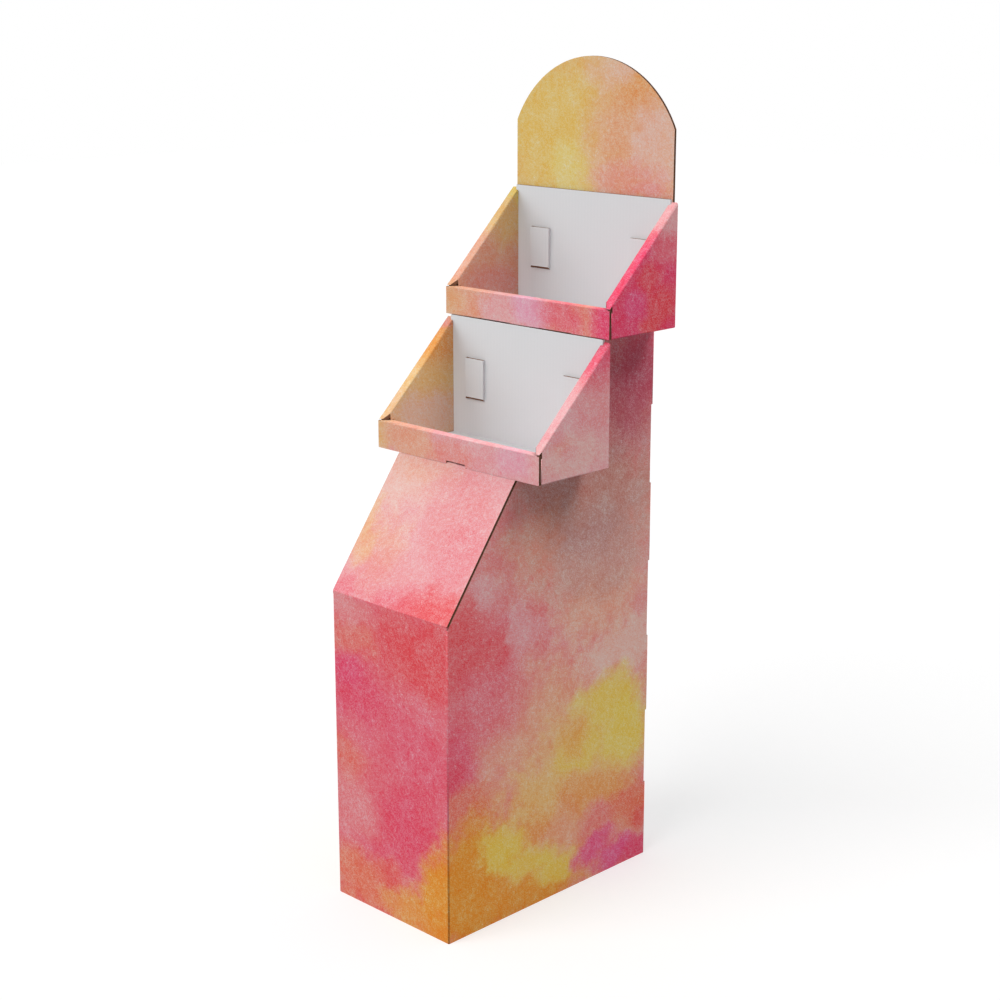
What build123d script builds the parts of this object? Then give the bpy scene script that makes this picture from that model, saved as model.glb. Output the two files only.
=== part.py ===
from build123d import *
import math
import os

# Corrugated board, in millimetres
board = 5.0            # face to face
crease = 2.5           # outside radius of a pressed fold
slip = 0.4             # room between layers and round tabs

# Column: sloped front, a step for the lower tray, glued rear flaps
column_width = 300.0
column_depth = 536.0   # front face to the rear face of the flaps
front_height = 600.0   # floor to the crease under the slope
slope_run = 168.0      # front face to the front of the lower tray
flap_rows = 7          # equal lengths of the rear edge, every other one a flap
flap_reach = 55.0      # from the side panel inwards
tongue_width = 48.0    # at the middle of the slope's top edge
tongue_reach = 14.0    # behind the lower tray's front face
tongue_rise = 3.2      # top face above the lower tray's underside
tongue_slot = 6.0      # height of its slot in the lower lip

# Trays: floor, back wall and rolled walls from one sheet
tray_width = 414.0
tray_depth = 181.0
tray_height = 227.0    # at the rear of the side walls
back_height = 231.0    # top of the back wall
lip_height = 52.5
hem = 20.0             # width of a rolled rim
rim_start = 2.0        # front end of the side rims, behind the lip's face
rim_chamfer = 11.0     # cut across their inner front corners
lower_floor = 830.0    # underside of the lower tray
upper_floor = 1062.0   # underside of the upper tray, top of the side panels
ear_reach = 70.0       # back wall's ears, inside the side walls
ear_base = 12.0
ear_height = 125.0
corner_reach = 65.0    # side walls' front flaps, inside the lip
lip_tab_start = 38.0   # upper lip's tabs, from the middle
lip_tab_width = 78.0
lip_tab_fold = 13.0    # height of the fold above the tray's underside
lip_tab_toe = 2.0      # height of the toe's end
lip_tab_end = 8.8      # its distance behind the lip's face
notch_depth = 12.0     # notches for the toes, cut across the front crease
notch_height = 4.0

# Lock tabs that come through the trays' back walls
lock_width = 48.0
lock_height = 79.0
lock_base = 76.0       # above the tray's underside

# Arched header
header_width = 390.0
header_shoulder = 1417.0
header_top = 1540.0

# Places that follow from the sizes above
column_half = column_width / 2
tray_half = tray_width / 2
header_half = header_width / 2
rear_plane = column_depth - board           # inner face of the flaps
upper_back = rear_plane - board             # rear face of the upper tray
upper_front = upper_back - tray_depth
lower_back = slope_run + tray_depth         # rear face of the lower tray
flap_height = upper_floor / flap_rows
header_foot = flap_height * (flap_rows - 1)
inside_half = column_half - board - slip    # boards between the side panels
roll_half = tray_half - board - slip        # lip roll and back wall between the side walls
slope_angle = math.atan2(lower_floor - front_height, slope_run)
rim_angle = math.atan2(tray_height - lip_height, tray_depth)
beyond = board                              # how far a cut runs past a face


def strip(*corners):
    # Section of a folded board: one face follows the corners, the board lies on its right
    path = [Vector(*corner) for corner in corners]
    runs = [(end - start).normalized() for start, end in zip(path, path[1:])]
    rights = [Vector(run.Y, -run.X) for run in runs]
    far = [path[0] + rights[0] * board]
    for point, before, after in zip(path[1:], rights, rights[1:]):
        far.append(point + (before + after) * (board / (1 + before.dot(after))))
    far.append(path[-1] + rights[-1] * board)
    turns = [before.cross(after).Z for before, after in zip(runs, runs[1:])]
    near_line = FilletPolyline(*path, radius=[crease if turn < 0 else 0 for turn in turns])
    far_line = FilletPolyline(*far, radius=[crease if turn > 0 else 0 for turn in turns])
    ends = [Line(path[0], far[0]), Line(path[-1], far[-1])]
    return make_face(Curve() + [near_line, far_line] + ends)


def slab(x, y, z):
    # Block between two corners, each axis given as (low, high)
    size = [high - low for low, high in (x, y, z)]
    middle = [(low + high) / 2 for low, high in (x, y, z)]
    return Pos(*middle) * Box(*size)


def upright(section, low, high):
    # Plan section raised between two heights
    return Pos(0, 0, low) * extrude(section, amount=high - low)


def across(section, low, high):
    # Side section, drawn as (y, z), carried across the width
    return Pos(low, 0, 0) * extrude(Plane.YZ * section, amount=high - low)


def with_mirror(shape):
    return shape + mirror(shape, about=Plane.YZ)


def lock_plate(root, wall_front, low):
    # Tab that leaves the side plane through a slot, and lies flat before the tray's back wall
    face = wall_front - slip - board
    section = strip(*root, (column_half, face), (column_half - lock_width, face))
    return upright(section, low, low + lock_height)


def column_sleeve():
    wrap = strip(
        (column_half - flap_reach, column_depth),
        (column_half, column_depth),
        (column_half, 0),
        (-column_half, 0),
        (-column_half, column_depth),
        (flap_reach - column_half, column_depth),
    )
    under = board + slip
    slope_foot = front_height - under / math.cos(slope_angle)
    slope_end = (lower_floor - slope_foot) / math.tan(slope_angle)
    riser = lower_back + slip
    stepped = make_face(Polyline(
        (-beyond, -beyond),
        (-beyond, slope_foot - beyond * math.tan(slope_angle)),
        (slope_end, lower_floor),
        (riser, lower_floor),
        (riser, upper_floor),
        (column_depth + beyond, upper_floor),
        (column_depth + beyond, -beyond),
        close=True,
    ))
    sleeve = upright(wrap, 0, upper_floor) & across(stepped, -column_width, column_width)
    for row in range(1, flap_rows, 2):
        rows = (row * flap_height, (row + 1) * flap_height)
        sleeve -= slab((-column_width, column_width), (rear_plane, column_depth + beyond), rows)
    sleeve += slope_panel()
    lock = lock_plate([(column_half, riser + 4 * board)], lower_back - board, lower_floor + lock_base)
    return sleeve + with_mirror(lock)


def slope_panel():
    # Panel over the sloped edges of the sides, folded back from the front panel, with its tongue
    start = (0, front_height - 4 * board)
    fold = (0, front_height)
    tongue_top = lower_floor + tongue_rise
    tongue_bend = (tongue_top - front_height) / math.tan(slope_angle)
    tongue = strip(start, fold, (tongue_bend, tongue_top), (slope_run + tongue_reach, tongue_top))
    past = lower_floor + 4 * board
    panel = strip(start, fold, ((past - front_height) / math.tan(slope_angle), past))
    sheet = across(panel, -column_half, column_half)
    sheet -= slab((-column_width, column_width), (0, column_depth), (lower_floor - slip, upper_floor))
    rounded = FilletPolyline(
        (column_half, column_depth),
        (column_half, 0),
        (-column_half, 0),
        (-column_half, column_depth),
        radius=crease,
    )
    closing = Line((column_half, column_depth), (-column_half, column_depth))
    sheet &= upright(make_face(Curve() + [rounded, closing]), 0, upper_floor)
    return sheet + across(tongue, -tongue_width / 2, tongue_width / 2)


def back_panel():
    return slab((-inside_half, inside_half), (upper_back, rear_plane), (0, header_foot))


def header_board():
    arch = ThreePointArc((header_half, header_shoulder), (0, header_top), (-header_half, header_shoulder))
    edges = Polyline(
        (-header_half, header_shoulder),
        (-header_half, upper_floor),
        (-inside_half, upper_floor),
        (-inside_half, header_foot + slip),
        (inside_half, header_foot + slip),
        (inside_half, upper_floor),
        (header_half, upper_floor),
        (header_half, header_shoulder),
    )
    outline = make_face(Curve() + [arch, edges])
    header = Pos(0, rear_plane, 0) * extrude(Plane.XZ * outline, amount=board)
    low = upper_floor + lock_base
    window = (column_half - lock_width - 2 * board, column_half)
    rows = (low - slip, low + lock_height + slip)
    header -= with_mirror(slab(window, (upper_back - beyond, rear_plane + beyond), rows))
    root = [(column_half + 2 * board, upper_back), (column_half, upper_back)]
    return header + with_mirror(lock_plate(root, upper_back - board, low))


def rim_under(y):
    # Height of the sloped rim's lower face
    return lip_height + y * math.tan(rim_angle) - board / math.cos(rim_angle)


def side_wall():
    # Right wall: up from the floor, over the sloped rim and down again, with a front flap in the lip
    inner = tray_half - hem
    roll = strip((inner, -tray_height), (inner, 0), (tray_half, 0), (tray_half, -tray_height))
    along = (0, -math.cos(rim_angle), -math.sin(rim_angle))
    rim = Plane(origin=(0, 0, lip_height), x_dir=(1, 0, 0), z_dir=along)
    wall = extrude(rim * roll, amount=tray_depth + tray_height, both=True)
    front = board + slip
    flap_top = lip_height - board - slip
    lip_top = lip_height + slip
    widths = (inner - beyond, tray_half + beyond)
    reach = slab(widths, (rim_start, tray_depth), (lip_top, tray_height))
    reach += slab(widths, (front, tray_depth), (flap_top, lip_top))
    wall &= reach + slab(widths, (front + board, tray_depth), (board, flap_top))
    hidden = (inner - beyond, tray_half - board)
    touch = (lip_top - rim_under(0)) / math.tan(rim_angle)
    hook = rim_start + rim_chamfer
    open_corner = Polyline((touch, lip_top), (hook, lip_top), (hook, rim_under(hook)), close=True)
    wall -= across(make_face(open_corner), *hidden)
    wall -= slab(hidden, (0, hem + slip), (0, lip_top))
    chamfer = Polyline(
        (inner - beyond, hook + beyond),
        (inner - beyond, rim_start - beyond),
        (inner + rim_chamfer + beyond, rim_start - beyond),
        close=True,
    )
    wall -= upright(make_face(chamfer), lip_top, tray_height)
    wall -= slab(hidden, (0, tray_depth), (0, board + slip))
    wall -= slab(hidden, (tray_depth - board - slip, tray_depth + beyond),
                 (0, rim_under(tray_depth - board - slip)))
    foot = strip((tray_half, 3 * board), (tray_half, 0), (roll_half - board, 0))
    wall += Pos(0, tray_depth, 0) * extrude(Plane.XZ * foot, amount=tray_depth - front - board)
    flap = strip((tray_half, 4 * board), (tray_half, front), (tray_half - corner_reach, front))
    return wall + upright(flap, board + slip, flap_top)


def lip_tab():
    # Tab at the lip's inner panel, folded forward and down into a notch of the front crease
    section = strip((hem, 2 * lip_tab_fold), (hem, lip_tab_fold), (lip_tab_end, lip_tab_toe))
    return across(section, lip_tab_start + slip, lip_tab_start + lip_tab_width - slip)


def tray(on_slope):
    # The tray on the slope takes the slope's tongue, the other locks its own lip with tabs
    section = strip(
        (tray_depth, back_height),
        (tray_depth, 0),
        (0, 0),
        (0, lip_height),
        (hem, lip_height),
        (hem, board + slip),
    )
    folded = across(section, -roll_half, roll_half)
    lip_face = across(section, -tray_half, tray_half)
    folded += lip_face & slab((-tray_half, tray_half), (0, board), (0, lip_height))
    slot_span = (column_half - board - slip, column_half + slip)
    slot_rows = (lock_base - slip, lock_base + lock_height + slip)
    cuts = slab(slot_span, (tray_depth - 2 * board, tray_depth + beyond), slot_rows)
    cuts += slab((tray_half - hem - slip, tray_half), (tray_depth - 2 * board, tray_depth + beyond),
                 (rim_under(tray_depth - board) - slip, back_height + beyond))
    sides = side_wall()
    if on_slope:
        tongue_half = tongue_width / 2 + slip
        cuts += slab((-tongue_half, tongue_half), (-beyond, tongue_reach + slip), (-beyond, tongue_slot))
    else:
        tab_span = (lip_tab_start, lip_tab_start + lip_tab_width)
        cuts += slab(tab_span, (-beyond, notch_depth), (-beyond, notch_height))
        cuts += slab(tab_span, (hem - board - slip, hem + slip), (board, 2 * lip_tab_fold))
        sides += lip_tab()
    ear = strip((tray_half - 2 * hem, tray_depth), (roll_half, tray_depth), (roll_half, tray_depth - ear_reach))
    sides += upright(ear, ear_base, ear_base + ear_height)
    return folded - with_mirror(cuts) + with_mirror(sides)


pieces = {
    "column_sleeve": column_sleeve(),
    "back_panel": back_panel(),
    "header_board": header_board(),
    "lower_tray": Pos(0, slope_run, lower_floor) * tray(on_slope=True),
    "upper_tray": Pos(0, upper_front, upper_floor) * tray(on_slope=False),
}

# The origin is on the floor, at the middle of the footprint
os.makedirs("parts", exist_ok=True)
for name, piece in pieces.items():
    export_step(Pos(0, -column_depth / 2, 0) * piece, f"parts/{name}.step")
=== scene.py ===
import math
import bmesh
import bpy
import numpy as np
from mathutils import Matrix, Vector
from mathutils.geometry import delaunay_2d_cdt


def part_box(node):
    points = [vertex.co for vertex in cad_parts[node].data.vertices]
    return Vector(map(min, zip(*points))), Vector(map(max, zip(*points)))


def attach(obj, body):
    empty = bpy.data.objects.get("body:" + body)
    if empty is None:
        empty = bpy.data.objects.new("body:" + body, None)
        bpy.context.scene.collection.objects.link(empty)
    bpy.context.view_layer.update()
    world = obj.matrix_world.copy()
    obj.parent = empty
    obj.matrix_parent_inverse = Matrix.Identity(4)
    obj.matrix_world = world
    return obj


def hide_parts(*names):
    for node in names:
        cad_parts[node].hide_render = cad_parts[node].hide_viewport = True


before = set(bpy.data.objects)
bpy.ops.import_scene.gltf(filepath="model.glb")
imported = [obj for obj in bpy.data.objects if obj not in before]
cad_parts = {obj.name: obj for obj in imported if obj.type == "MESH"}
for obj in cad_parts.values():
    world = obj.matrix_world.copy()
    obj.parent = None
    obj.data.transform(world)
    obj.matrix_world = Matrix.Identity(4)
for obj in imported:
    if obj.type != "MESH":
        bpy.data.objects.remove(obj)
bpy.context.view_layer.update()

mm = 0.001  # lengths in the dictionaries are millimetres where no note says metres

board = {
    "thick": 5.0,
    "crease": 2.5,                    # outside radius of a pressed fold
    "foldSteps": 7,                   # points round a fold
    "foldAcross": (1.0, 0.6, 0.0),    # way in which flutes are counted on a fold
    "foldEnd": (0.2, 0.5),            # a fold's cut end: how open (the share of painted flute shade), how far through the board
    "slip": 0.4,                      # room between layers
    "nick": 0.8,                      # small step where a cut meets a fold on one line
    "nickShare": 0.3,                 # the most of an edge that a nick takes
    "pitch": 8.0,                     # one flute to the next
    "liner": 0.55,                    # paper on each face
    "linerSoft": (0.8, 1.7),          # its blurred rim, in shares of it
    "medium": 0.40,                   # half of the wavy paper's cut edge
    "mediumSoft": 0.35,               # its blurred rim
    "hollow": 2.2,                    # how deep the cut flutes are open
    "step": 1.0,                      # sample length along a cut edge
    "speck": 0.05,                    # an edge with a shorter front takes its direction from the back
    "weld": 0.004,                    # points closer than this are joined
    "sliver": 0.0001,                 # edges shorter than this are dropped
}
thick, slip, nick = board["thick"], board["slip"], board["nick"]
tiny = 1e-9  # keeps a division from zero
acrossThick = np.array([0, .07, .13, .21, .3, .4, .5, .6, .7, .79, .87, .93, 1.0])
xAxis, yAxis, zAxis = np.eye(3)

# Inks as they look on the front faces, 0 to 255
inks = {
    "coral": (216, 87, 91), "hotPink": (216, 87, 110), "crimson": (216, 78, 110), "magenta": (216, 97, 138),
    "rose": (216, 113, 125), "blush": (216, 137, 139), "pink": (216, 159, 162), "lilac": (216, 158, 178),
    "cream": (216, 177, 165), "peach": (216, 160, 135), "salmon": (216, 123, 99), "amber": (216, 144, 58),
    "honey": (216, 154, 97), "tan": (216, 179, 118), "yellow": (216, 191, 96), "lemon": (216, 199, 125),
    # The mauve and wine colours on the next line are painted shade, not inks: darker stand-ins for the trays'
    # shadow on the column's side
    "paintedShadeMauve": (178, 128, 126), "paintedShadeWine": (172, 74, 92), "paper": (216, 216, 216), "white": (214, 216, 218),
    # hollow is painted shade: a dark stand-in for the shade inside a cut edge's open flutes, which are the
    # same kraft
    "kraft": (126, 90, 70), "hollow": (56, 35, 26),
}

# Print and paper. A noise is its scale, detail and roughness.
paper = {
    "cloud": (7.0, 8.0, 0.62),  # slow wander of the washes
    "fray": (24.0, 8.0, 0.72),  # their torn rims
    "frayReach": 0.9,  # how far the fray moves a rim, in shares of the wash's reach
    "rimOuter": 1.05, "rimInner": 0.4,  # where a wash starts and where it is full, in shares of its reach
    "span": 900,  # reach of a wash through a flat panel
    "fibreTurn": (0.0, 2.06, 0.785),  # way the paper's fibres lie, in radians
    "fibreStretch": (1.0, 1.0, 3.0),
    "tooth": (520.0, 3.0, 0.75), "patch": (150.0, 5.0, 0.7), "bloom": (24.0, 5.0, 0.65),
    "toothShare": 0.53, "patchShare": 0.27, "bloomShare": 0.2,
    "printGrain": 4.8, "bareGrain": 1.0,
    "printRidges": 0.5, "bareRidges": 0.25,  # height of the flutes felt through the liner
    "fluteTone": 0.006,  # and their shade
    "creaseWear": 0.03,  # white rubbed through at the folds
    "bumpStrength": 0.12, "bumpDistance": 0.0004,  # distance in metres
    "linerRough": 0.8, "edgeRough": 0.9, "specular": 0.08,
}


# Written colour to linear light
def ink(name):
    share = np.array(inks[name]) / 255
    return (*np.where(share < 0.04045, share / 12.92, ((share + 0.055) / 1.055) ** 2.4), 1)


def nodeBox(node):
    low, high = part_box(node)
    return np.array(low) / mm, np.array(high) / mm


sleeveLow, sleeveHigh = nodeBox("column_sleeve")
lowerLow, lowerHigh = nodeBox("lower_tray")
upperLow, upperHigh = nodeBox("upper_tray")
headerLow, headerHigh = nodeBox("header_board")
panelLow, panelHigh = nodeBox("back_panel")


def smoothStep(low, high, value):
    t = np.clip((value - low) / (high - low), 0, 1)
    return t * t * (3 - 2 * t)


# A sheet gathers patches: points, faces, each face's finish, board coordinates and how creased a point is
def newSheet(*finishes):
    return {"finishes": [*finishes, "white", "kraft"], "points": [], "faces": [], "finish": [], "smooth": [],
            "corners": [], "crease": [], "count": 0}


def addPatch(sheet, points, faces, finish, outward, uv, smooth=False, crease=None):
    a, b, c = (points[faces[:, i]] for i in (0, 1, 2))
    if np.cross(b - a, c - a).sum(0) @ outward < 0:
        faces = faces[:, ::-1]
    sheet["points"].append(points)
    sheet["faces"] += (faces + sheet["count"]).tolist()
    sheet["finish"] += [sheet["finishes"].index(finish)] * len(faces)
    sheet["smooth"] += [smooth] * len(faces)
    sheet["corners"].append(uv[faces.ravel()])
    sheet["crease"].append(np.zeros(len(points)) if crease is None else crease)
    sheet["count"] += len(points)


def gridFaces(rows, columns):
    index = np.arange(rows * columns).reshape(rows, columns)
    return np.stack([index[:-1, :-1], index[:-1, 1:], index[1:, 1:], index[1:, :-1]], -1).reshape(-1, 4)


# Corners of a loop after each side has moved inwards by its own trim: crossing of neighbouring lines
def trimLoop(loop, trims):
    run = np.roll(loop, -1, 0) - loop
    out = np.stack([run[:, 1], -run[:, 0]], 1) / np.linalg.norm(run, axis=1, keepdims=True)
    reach = (out * loop).sum(1) - trims
    before, reachBefore = np.roll(out, 1, 0), np.roll(reach, 1)
    det = before[:, 0] * out[:, 1] - before[:, 1] * out[:, 0]
    x = (reachBefore * out[:, 1] - reach * before[:, 1]) / det
    y = (before[:, 0] * reach - out[:, 0] * reachBefore) / det
    return np.stack([x, y], 1)


# Even-odd rule: a point is inside when a ray to the right crosses the loop an odd number of times
def insideLoop(points, loop):
    x, y = points[:, :1], points[:, 1:]
    ax, ay = loop.T
    bx, by = np.roll(loop, -1, 0).T
    crosses = (ay > y) != (by > y)
    at = ax + (y - ay) * (bx - ax) / np.where(by == ay, 1, by - ay)
    return (crosses & (x < at)).sum(1) % 2 == 1


# Triangles inside the first loop and outside the others
def fillLoops(loops):
    sides = []
    start = 0
    for loop in loops:
        ring = np.arange(len(loop)) + start
        sides += np.stack([ring, np.roll(ring, -1)], 1).tolist()
        start += len(loop)
    insideOnly, epsilon = 1, 1e-7
    made = delaunay_2d_cdt(np.concatenate(loops).tolist(), sides, [], insideOnly, epsilon)
    points, faces = np.array(made[0]), np.array(made[2])
    middle = points[faces].mean(1)
    keep = insideLoop(middle, loops[0])
    for hole in loops[1:]:
        keep &= ~insideLoop(middle, hole)
    return points, faces[keep]


# How open a cut edge is at flute place f and share v of the thickness:
# wave(f) = 1/2 + swing sin(2 pi f / pitch),
# open = step(|v - wave| - medium) * step(distance to a face - liner)
# The openness both pushes the cut edge in and sets how much painted shade the edge material lays on the open
# flutes
def cutOpen(flute, taper):
    v = acrossThick[None, :]
    swing = 0.5 - (board["liner"] + board["medium"]) / thick
    wave = 0.5 + swing * np.sin(2 * math.pi * flute[:, None] / board["pitch"])
    offMedium = smoothStep(board["medium"], board["medium"] + board["mediumSoft"], np.abs(v - wave) * thick)
    softLow, softHigh = board["linerSoft"]
    offLiner = smoothStep(board["liner"] * softLow, board["liner"] * softHigh, np.minimum(v, 1 - v) * thick)
    return offMedium * offLiner * taper[:, None]


def foldRadius(edge):
    return edge[2] if len(edge) > 2 else board["crease"]


# One flat panel of a sheet. outline lists (corner, edge) pairs. An edge is "cut" (open flutes), "plain"
# (closed cut), "wrap" (closed, with the face's paper over it), "curve", a fold as (name, degrees) or
# (name, degrees, radius), or ("bevel" or "wrap", front trim, back trim).
# Edge surface: front(s) (1 - v) + back(s) v, pushed in by hollow * open(s, v)
def addPanel(sheet, origin, across, up, outline, face, back="white", holes=(), fluteUp=True, curve=None,
             mirror=False):
    origin, across, up = (np.array(vector, float) for vector in (origin, across, up))
    normal = np.cross(across, up)
    if mirror:
        origin, across, up, normal = (vector * (-1, 1, 1) for vector in (origin, across, up, normal))
    corners = np.array([corner for corner, _ in outline], float)
    edges = [edge for _, edge in outline]
    kinds = [edge if isinstance(edge, str) else edge[0] for edge in edges]
    folded = [kind not in ("cut", "plain", "wrap", "curve", "bevel") for kind in kinds]
    frontTrim, backTrim = np.zeros(len(edges)), np.zeros(len(edges))
    for i, edge in enumerate(edges):
        if folded[i]:
            half = math.tan(math.radians(edge[1]) / 2)
            frontTrim[i], backTrim[i] = foldRadius(edge) * half, thick * half
        elif not isinstance(edge, str):
            frontTrim[i], backTrim[i] = edge[1:]
    front, rear = trimLoop(corners, frontTrim), trimLoop(corners, backTrim)

    def place(flat, depth):
        return (origin + flat[..., :1] * across + flat[..., 1:] * up - depth[..., None] * normal) * mm

    def addCut(frontLine, rearLine, s, opened, finish="kraft"):
        run = np.gradient(frontLine if np.ptp(frontLine, 0).sum() > board["speck"] else rearLine, axis=0)
        out = np.stack([run[:, 1], -run[:, 0]], 1)
        out /= np.maximum(np.linalg.norm(out, axis=1, keepdims=True), tiny)
        length = np.linalg.norm(np.diff(frontLine, axis=0), axis=1).sum()
        taper = smoothStep(0, 1, np.minimum(s, 1 - s) * length / nick) * opened
        cavity = cutOpen(frontLine[:, 0 if fluteUp else 1], taper)
        v = acrossThick[None, :, None]
        flat = frontLine[:, None] * (1 - v) + rearLine[:, None] * v
        flat = flat - out[:, None] * (cavity * board["hollow"])[..., None]
        share = np.broadcast_to(acrossThick, cavity.shape)
        total = out.sum(0)
        addPatch(sheet, place(flat, share * thick).reshape(-1, 3), gridFaces(*cavity.shape), finish,
                 total[0] * across + total[1] * up, np.stack([cavity, share], -1).reshape(-1, 2))

    folds = {}
    loops = [[], []]
    for i, edge in enumerate(edges):
        j = (i + 1) % len(edges)
        if folded[i]:
            folds[edge[0]] = {"front": place(front[[i, j]], np.zeros(2)),
                              "back": place(rear[[i, j]], np.full(2, thick)), "normal": normal,
                              "radius": foldRadius(edge)}
            loops[0].append(front[i:i + 1])
            loops[1].append(rear[i:i + 1])
            continue
        s = np.array([0.0, 1.0])
        if edge == "cut":
            end = min(nick / max(np.linalg.norm(front[j] - front[i]), tiny), board["nickShare"])
            crossed = abs(front[j] - front[i])[0 if fluteUp else 1]
            middle = np.linspace(end, 1 - end, int(crossed / board["step"]) + 2)
            s = np.concatenate([[0, end / 2], middle, [1 - end / 2, 1]])
        if edge == "curve":
            s = np.linspace(0, 1, int(curve["length"] / board["step"]))
            frontLine = rearLine = curve["path"](s)
        else:
            frontLine, rearLine = (loop[i] + (loop[j] - loop[i]) * s[:, None] for loop in (front, rear))
        addCut(frontLine, rearLine, s, 1.0 if edge in ("cut", "curve") else 0.0,
               face if kinds[i] == "wrap" else "kraft")
        loops[0].append(frontLine[:-1])
        loops[1].append(rearLine[:-1])
    holes = [np.array(hole, float) for hole in holes]
    for hole in holes:
        for start, end in zip(hole, np.roll(hole, -1, 0)):
            line = np.stack([end, start])
            addCut(line, line, np.array([0.0, 1.0]), 0.0)
    for loop, depth, finish, side in ((loops[0], 0, face, normal), (loops[1], thick, back, -normal)):
        flat, faces = fillLoops([np.concatenate(loop)] + holes)
        uv = (flat if fluteUp else flat[:, ::-1]) * mm
        addPatch(sheet, place(flat, np.full(len(flat), depth)), faces, finish, side, uv)
    return folds


# Fold between two panels: an arc of the crease radius carried along the fold, closed by its two cut ends.
# arc(s) = centre(s) + radius * slerp(first normal, second normal, s)
def addFold(sheet, first, second, finish):
    a, b = first["front"], second["front"]
    aBack, bBack = first["back"], second["back"]
    if np.linalg.norm(a[0] - b[0]) > np.linalg.norm(a[0] - b[1]):
        b, bBack = b[::-1], bBack[::-1]
    angle = math.acos(np.clip(first["normal"] @ second["normal"], -1, 1))
    s = np.linspace(0, 1, board["foldSteps"])[:, None]
    turned = np.sin((1 - s) * angle) * first["normal"] + np.sin(s * angle) * second["normal"]
    normals = turned / math.sin(angle)
    radius = first["radius"] * mm
    ends = (a - radius * first["normal"], b - radius * second["normal"])
    arc = ends[0] * (1 - s[..., None]) + ends[1] * s[..., None] + radius * normals[:, None]
    points = arc.reshape(-1, 3)
    uv = np.stack([points @ np.array(board["foldAcross"]), points[:, 2]], 1)
    crease = np.repeat(np.sin(math.pi * s), 2)
    outward = first["normal"] + second["normal"]
    addPatch(sheet, points, gridFaces(len(s), 2), finish, outward, uv, True, crease)
    v = acrossThick[:, None]
    for end in (0, 1):
        down = b[end] * (1 - v) + bBack[end] * v
        rise = (a[end] * (1 - v) + aBack[end] * v)[::-1]
        ring = np.concatenate([arc[:, end], down[1:], rise[:-1]])
        count = len(ring)
        fan = np.stack([np.full(count, count), np.arange(count), np.roll(np.arange(count), -1)], 1)
        middle = ring.mean(0, keepdims=True)
        addPatch(sheet, np.concatenate([ring, middle]), fan, "kraft", a[end] - a[1 - end],
                 np.full((count + 1, 2), board["foldEnd"]))


def rectangle(left, right, low, high):
    return [(left, low), (right, low), (right, high), (left, high)]


def boxed(left, right, low, high, *edges):
    return list(zip(rectangle(left, right, low, high), edges))


# Node helpers: a value that is a socket is linked, None is left, any other is set on the input
def feed(tree, inputs, values):
    for socket, value in zip(inputs, values):
        if isinstance(value, bpy.types.NodeSocket):
            tree.links.new(value, socket)
        elif value is not None:
            socket.default_value = value


def addNode(tree, kind, *values, **settings):
    made = tree.nodes.new("ShaderNode" + kind)
    for key, value in settings.items():
        setattr(made, key, value)
    feed(tree, made.inputs, values)
    return made


def mathNode(tree, operation, *values):
    return addNode(tree, "Math", *values, operation=operation).outputs[0]


def vectorNode(tree, operation, *values):
    return addNode(tree, "VectorMath", *values, operation=operation).outputs


def mixNode(tree, factor, first, second):
    unused = [None] * 5
    return addNode(tree, "Mix", factor, *unused, first, second, data_type="RGBA").outputs[2]


def noiseNode(tree, place, scale, detail, roughness):
    return addNode(tree, "TexNoise", place, None, scale, detail, roughness).outputs


def newGroup(name, takes, gives):
    tree = bpy.data.node_groups.new(name, "ShaderNodeTree")
    for direction, sockets in (("INPUT", takes), ("OUTPUT", gives)):
        for socket, kind in sockets.items():
            tree.interface.new_socket(socket, in_out=direction, socket_type="NodeSocket" + kind)
    return tree, tree.nodes.new("NodeGroupInput").outputs, tree.nodes.new("NodeGroupOutput").inputs


def useGroup(tree, group, *values):
    made = tree.nodes.new("ShaderNodeGroup")
    made.node_tree = group
    feed(tree, made.inputs, values)
    return made.outputs


# Drift: surface place pushed about by cloudy noise, and a noise that frays the washes' rims
def makeDrift():
    tree, take, give = newGroup("washDrift", {"Place": "Vector", "Amount": "Float"},
                                {"Place": "Vector", "Fray": "Float"})
    cloud = noiseNode(tree, take["Place"], *paper["cloud"])[1]
    centred = vectorNode(tree, "SUBTRACT", cloud, (0.5, 0.5, 0.5))[0]
    scaled = addNode(tree, "VectorMath", centred, operation="SCALE")
    tree.links.new(take["Amount"], scaled.inputs["Scale"])
    tree.links.new(vectorNode(tree, "ADD", take["Place"], scaled.outputs[0])[0], give["Place"])
    tree.links.new(noiseNode(tree, take["Place"], *paper["fray"])[0], give["Fray"])
    return tree


# Wash: away = |(place - centre) / reach| + frayReach * (fray - 1/2). The mask falls smoothly from strength
# at away = rimInner to 0 at rimOuter, and mixes the ink over the colour below.
def makeWash():
    tree, take, give = newGroup("washSpot", {
        "Under": "Color", "Ink": "Color", "Place": "Vector", "Centre": "Vector", "Reach": "Vector",
        "Fray": "Float", "Strength": "Float"}, {"Colour": "Color"})
    offset = vectorNode(tree, "SUBTRACT", take["Place"], take["Centre"])[0]
    scaled = vectorNode(tree, "DIVIDE", offset, take["Reach"])[0]
    distance = vectorNode(tree, "LENGTH", scaled)["Value"]
    centred = mathNode(tree, "SUBTRACT", distance, paper["frayReach"] / 2)
    away = mathNode(tree, "MULTIPLY_ADD", take["Fray"], paper["frayReach"], centred)
    mask = addNode(tree, "MapRange", away, paper["rimOuter"], paper["rimInner"], 0.0, 1.0,
                   interpolation_type="SMOOTHSTEP").outputs[0]
    mask = mathNode(tree, "MULTIPLY", mask, take["Strength"])
    tree.links.new(mixNode(tree, mask, take["Under"], take["Ink"]), give["Colour"])
    return tree


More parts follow.
